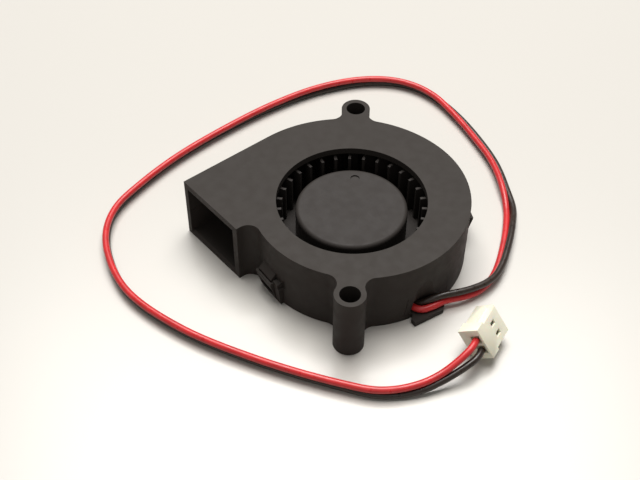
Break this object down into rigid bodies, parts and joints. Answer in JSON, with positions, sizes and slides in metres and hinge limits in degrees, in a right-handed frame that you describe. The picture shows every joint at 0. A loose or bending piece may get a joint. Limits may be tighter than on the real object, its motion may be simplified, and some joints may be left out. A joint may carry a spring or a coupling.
{
  "type": "dc blower fan",
  "caption": "Flat centrifugal blower: a scroll housing with a side outlet, a bladed wheel spun by a motor in its hub, mounting ears and a pair of leads with a plug.",
  "frame": {"origin": "on the wheel's axis at the housing's underside", "axes": "+Z along the wheel's axis, out of the air inlet; -Y the way the outlet blows; +X away from the scroll's straight side"},
  "size_m": [0.0932, 0.098, 0.015],
  "materials": {
    "housing_plastic": "fine moulded texture, charcoal",
    "wheel_plastic": "fine moulded texture, charcoal",
    "cup_steel": "drawn steel",
    "magnet": "rubber-bonded ferrite, matt dark grey",
    "shaft_steel": "ground steel",
    "clip_nylon": "natural nylon",
    "pad_nylon": "natural nylon",
    "bearing_bronze": "sintered bronze",
    "oil_ring": "matt",
    "tube_brass": "turned brass",
    "core_steel": "laminated electrical steel",
    "insulator_nylon": "natural nylon",
    "winding_copper": "enamelled copper wire",
    "tinned_metal": "tinned",
    "board": "green solder resist",
    "chip_black": "moulded epoxy",
    "capacitor_ceramic": "fired ceramic",
    "solder": "solder",
    "red_insulation": "satin red cable insulation",
    "black_insulation": "satin black cable insulation",
    "plug_nylon": "ivory nylon"
  },
  "bodies": {
    "housing": {"upper_housing": "housing_plastic", "base_housing": "housing_plastic", "thrust_pad": "pad_nylon", "sleeve_bearing": "bearing_bronze", "oil_ring": "oil_ring", "bearing_tube": "tube_brass", "stator_core": "core_steel", "upper_insulator": "insulator_nylon", "lower_insulator": "insulator_nylon", "stator_windings": "winding_copper", "winding_pins": "tinned_metal", "circuit_board": "board", "hall_sensor": "chip_black", "driver_chip": "chip_black", "chip_capacitor": "capacitor_ceramic", "chip_resistors": "chip_black", "solder_joints": "solder", "red_tail": "red_insulation", "black_tail": "black_insulation", "red_lead": "red_insulation", "black_lead": "black_insulation", "plug_housing": "plug_nylon", "crimp_terminals": "tinned_metal"},
    "rotor": {"impeller": "wheel_plastic", "rotor_cup": "cup_steel", "ring_magnet": "magnet", "motor_shaft": "shaft_steel", "retaining_clip": "clip_nylon"}
  },
  "joints": [
    {"name": "impeller_spin", "type": "hinge", "parent": "housing", "child": "rotor", "pos_m": [0, 0, 0], "axis": [0, 0, 1], "continuous": true}
  ]
}
